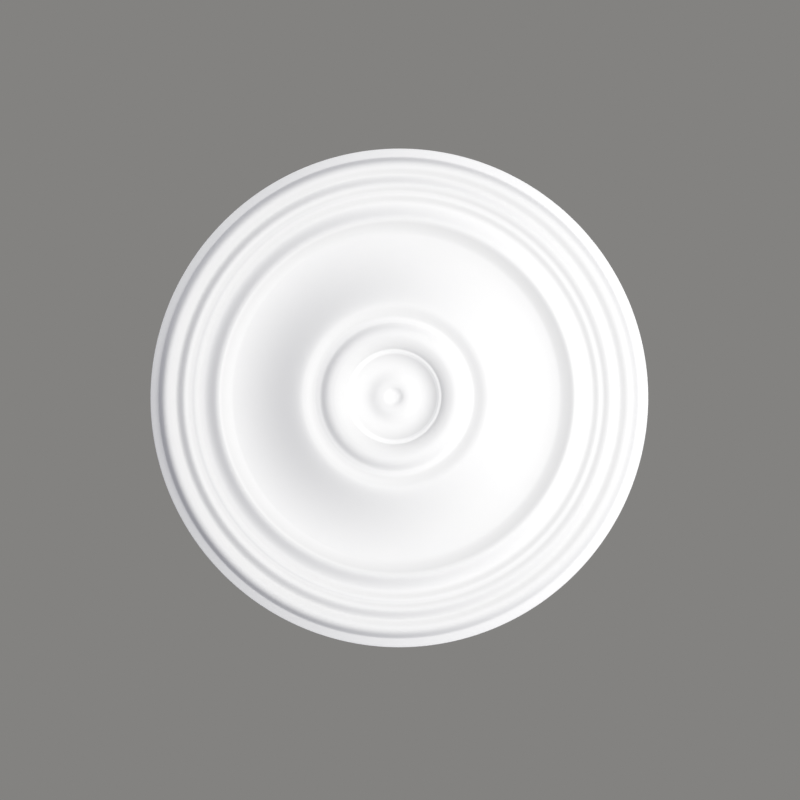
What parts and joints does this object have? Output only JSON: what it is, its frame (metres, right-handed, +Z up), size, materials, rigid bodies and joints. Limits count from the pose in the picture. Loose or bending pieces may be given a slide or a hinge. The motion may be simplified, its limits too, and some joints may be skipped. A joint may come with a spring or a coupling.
{
  "type": "ceiling rose",
  "caption": "Round white ceiling rose: stepped moulded border, broad bell-shaped field, and a raised boss with a shallow dish and a dimpled button at the middle.",
  "frame": {"origin": "centre of the flat back that lies against the ceiling", "axes": "+Z up into the ceiling along the axis the rose is turned about; the moulded face looks down along -Z; X and Y are any two directions across it, because it is round"},
  "size_m": [0.4, 0.4, 0.0501],
  "materials": {
    "white_primer": "smooth satin-matt white primer on rigid moulded foam"
  },
  "bodies": {
    "root": {"ceiling_rose": "white_primer"}
  },
  "joints": []
}
